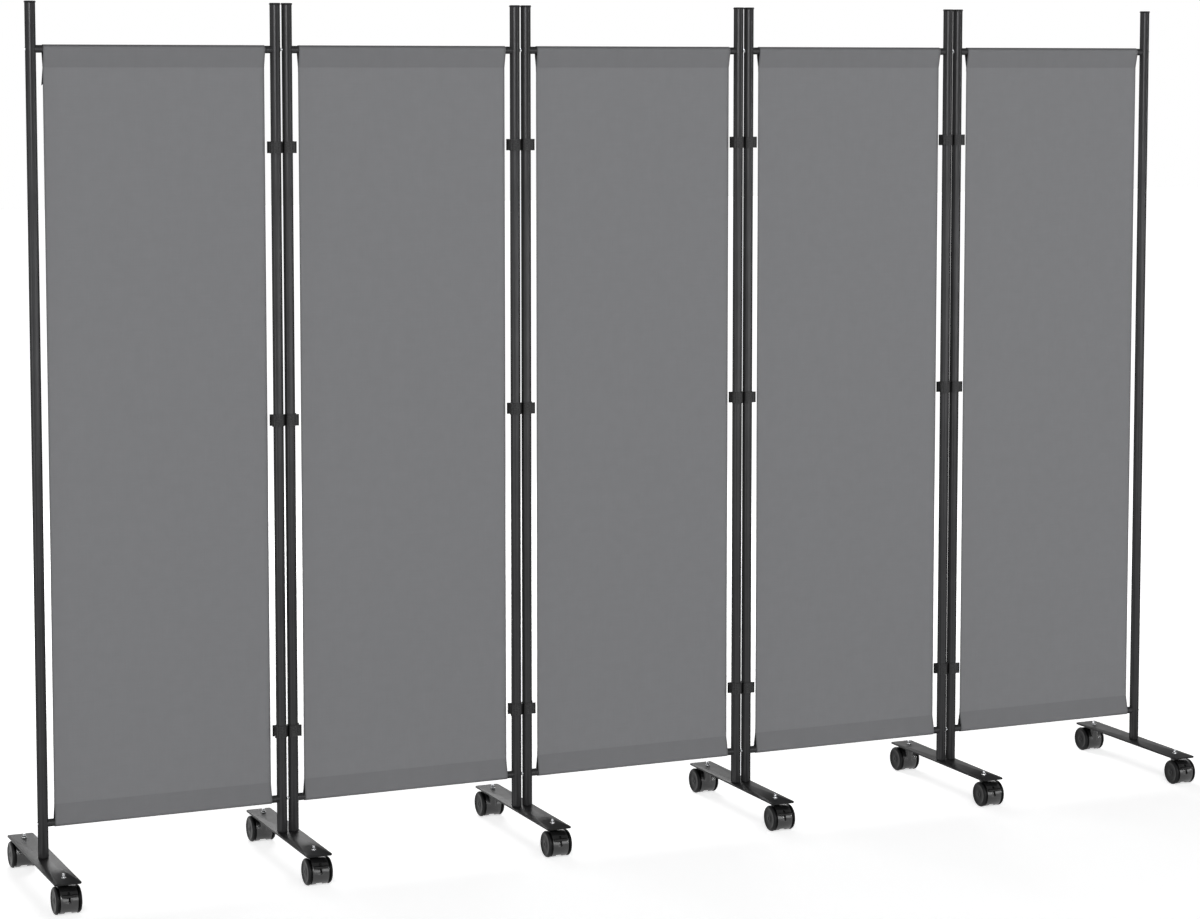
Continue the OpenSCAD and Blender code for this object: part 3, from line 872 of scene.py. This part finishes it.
def studio_world():
    """White to the camera and in mirrored rays, dimmer overhead there, and faint as a light."""
    world = bpy.data.worlds.new("studio")
    world.use_nodes = True
    bpy.context.scene.world = world
    nodes, links = world.node_tree.nodes, world.node_tree.links
    nodes.clear()

    def either(kind, a, b):
        node = nodes.new("ShaderNodeMath")
        node.operation = kind
        links.new(a, node.inputs[0])
        links.new(b, node.inputs[1])
        return node.outputs[0]

    def ramp(value, low, high, start=0.0, end=1.0):
        node = nodes.new("ShaderNodeMapRange")
        links.new(value, node.inputs["Value"])
        for key, v in (("From Min", start), ("From Max", end), ("To Min", low), ("To Max", high)):
            node.inputs[key].default_value = v
        return node.outputs["Result"]

    out, back = nodes.new("ShaderNodeOutputWorld"), nodes.new("ShaderNodeBackground")
    path = nodes.new("ShaderNodeLightPath").outputs
    where, split = nodes.new("ShaderNodeTexCoord"), nodes.new("ShaderNodeSeparateXYZ")
    links.new(where.outputs["Generated"], split.inputs[0])
    dim = ramp(split.outputs["Z"], 1.0, 0.1, 0.35, 0.65)
    mirror = either("MULTIPLY", path["Is Glossy Ray"], dim)
    seen = either("MAXIMUM", path["Is Camera Ray"], path["Is Transmission Ray"])
    level = ramp(either("MAXIMUM", seen, mirror), 0.12, 1.0)
    links.new(level, back.inputs["Strength"])
    back.inputs["Color"].default_value = (1, 1, 1, 1)
    links.new(back.outputs[0], out.inputs[0])


def lamp(name, place, aim, width, height, power):
    """A soft lamp of width by height metres, aimed at a point, and itself unseen."""
    data = bpy.data.lights.new(name, "AREA")
    data.shape = "RECTANGLE"
    data.size, data.size_y, data.energy = width, height, power
    ob = bpy.data.objects.new(name, data)
    bpy.context.scene.collection.objects.link(ob)
    ob.location = place
    ob.rotation_mode = "QUATERNION"
    ob.rotation_quaternion = (Vector(aim) - Vector(place)).to_track_quat("-Z", "Y")
    ob.visible_camera = False


def camera():
    """The photograph's camera, solved from measured points. Its focal length is in pixels of 1200."""
    focal_px, yaw, pitch = 2959.5, 24.044, 4.848
    data = bpy.data.cameras.new("photo_camera")
    data.sensor_width = 36.0
    data.sensor_fit = "HORIZONTAL"
    data.lens = focal_px / 1200 * 36.0
    data.shift_y = -0.115
    data.clip_start, data.clip_end = 0.05, 200
    ob = bpy.data.objects.new("photo_camera", data)
    bpy.context.scene.collection.objects.link(ob)
    ob.location = (-2.7683, -6.0201, 1.7078)
    a, b = math.radians(yaw), math.radians(pitch)
    forward = Vector((math.sin(a) * math.cos(b), math.cos(a) * math.cos(b), -math.sin(b)))
    ob.rotation_mode = "QUATERNION"
    ob.rotation_quaternion = forward.to_track_quat("-Z", "Y")
    bpy.context.scene.camera = ob


pale_floor()
studio_world()
lamp("key", (-6.8, -12.0, 6.0), (0, 0, 0.9), 7.0, 5.0, 1092)
lamp("side", (-6.0, -1.0, 1.3), (0, 0, 0.9), 0.4, 1.8, 24)
lamp("back", (0.5, 4.5, 3.2), (0, 0, 0.9), 3.0, 2.0, 190)
lamp("strip_right", (4.9, -3.4, 1.85), (0, 0, 1.4), 0.13, 1.7, 38)
lamp("softbox", (1.6, -5.9, 1.1), (0, 0, 0.9), 6.6, 1.7, 98)
camera()

bpy.context.scene.view_settings.view_transform = "Standard"
